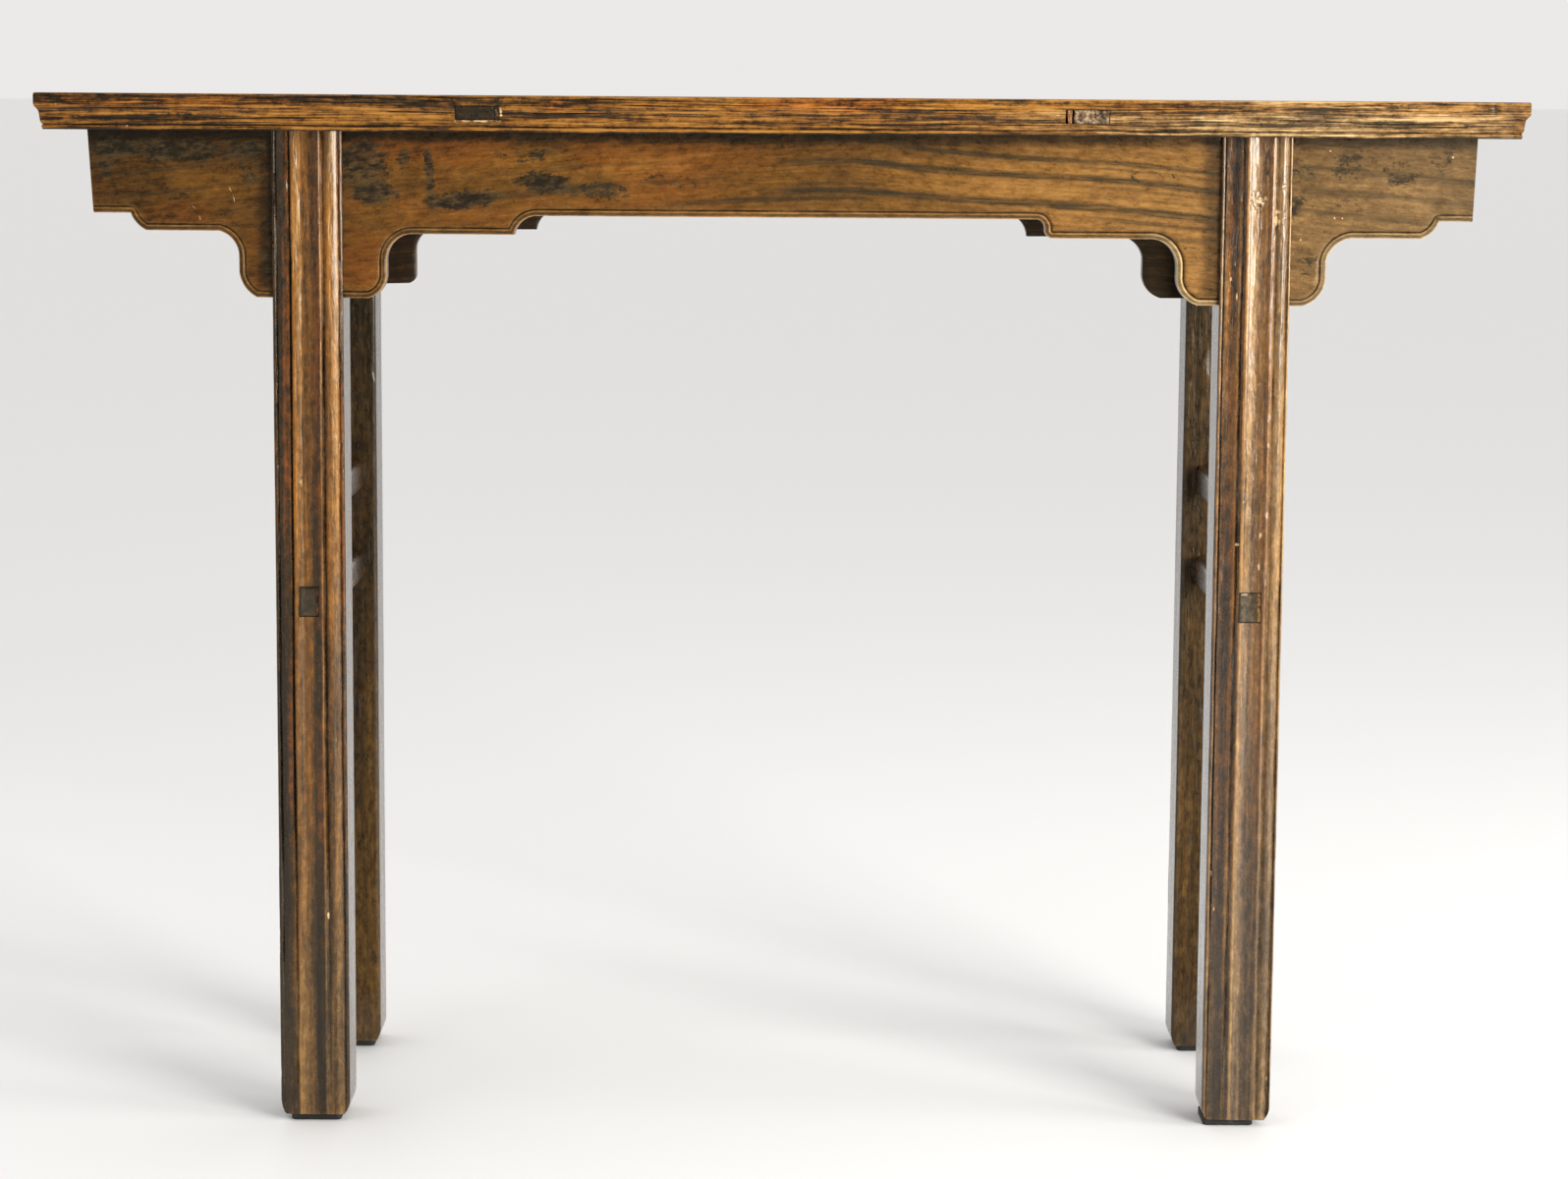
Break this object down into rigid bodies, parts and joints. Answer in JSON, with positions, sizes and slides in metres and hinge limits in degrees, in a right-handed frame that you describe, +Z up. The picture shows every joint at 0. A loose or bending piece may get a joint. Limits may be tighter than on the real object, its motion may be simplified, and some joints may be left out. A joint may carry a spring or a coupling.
{
  "type": "chinese altar table",
  "caption": "Narrow flat-top Chinese side table with recessed moulded legs, one-piece aprons with stepped spandrels, end stretchers and a mitred frame top.",
  "frame": {"origin": "on the floor under the middle of the table, at the centre of the bounding box's bottom", "axes": "+X along the table's length to the right as seen from the front, -Y is the front, +Z up"},
  "size_m": [1.225, 0.355, 0.87],
  "materials": {
    "lacquered_elm": "old satin lacquer over elm, worn to golden brown on the edges and dark in the grooves",
    "bare_elm": "unlacquered elm, darkened by age, on hidden braces and inner faces",
    "foot_pad": "matt black"
  },
  "bodies": {
    "root": {"top_rail_front": "lacquered_elm", "top_rail_rear": "lacquered_elm", "top_end_left": "lacquered_elm", "top_end_right": "lacquered_elm", "top_board_front": "lacquered_elm", "top_board_rear": "lacquered_elm", "brace_left": "bare_elm", "brace_right": "bare_elm", "brace_wedges": "bare_elm", "apron_front": "lacquered_elm", "apron_rear": "lacquered_elm", "end_apron_left": "lacquered_elm", "end_apron_right": "lacquered_elm", "leg_front_left": "lacquered_elm", "leg_front_right": "lacquered_elm", "leg_rear_left": "lacquered_elm", "leg_rear_right": "lacquered_elm", "stretcher_lower_left": "lacquered_elm", "stretcher_lower_right": "lacquered_elm", "stretcher_upper_left": "lacquered_elm", "stretcher_upper_right": "lacquered_elm", "stretcher_wedges": "bare_elm", "foot_pad_front_left": "foot_pad", "foot_pad_front_right": "foot_pad", "foot_pad_rear_left": "foot_pad", "foot_pad_rear_right": "foot_pad"}
  },
  "joints": []
}
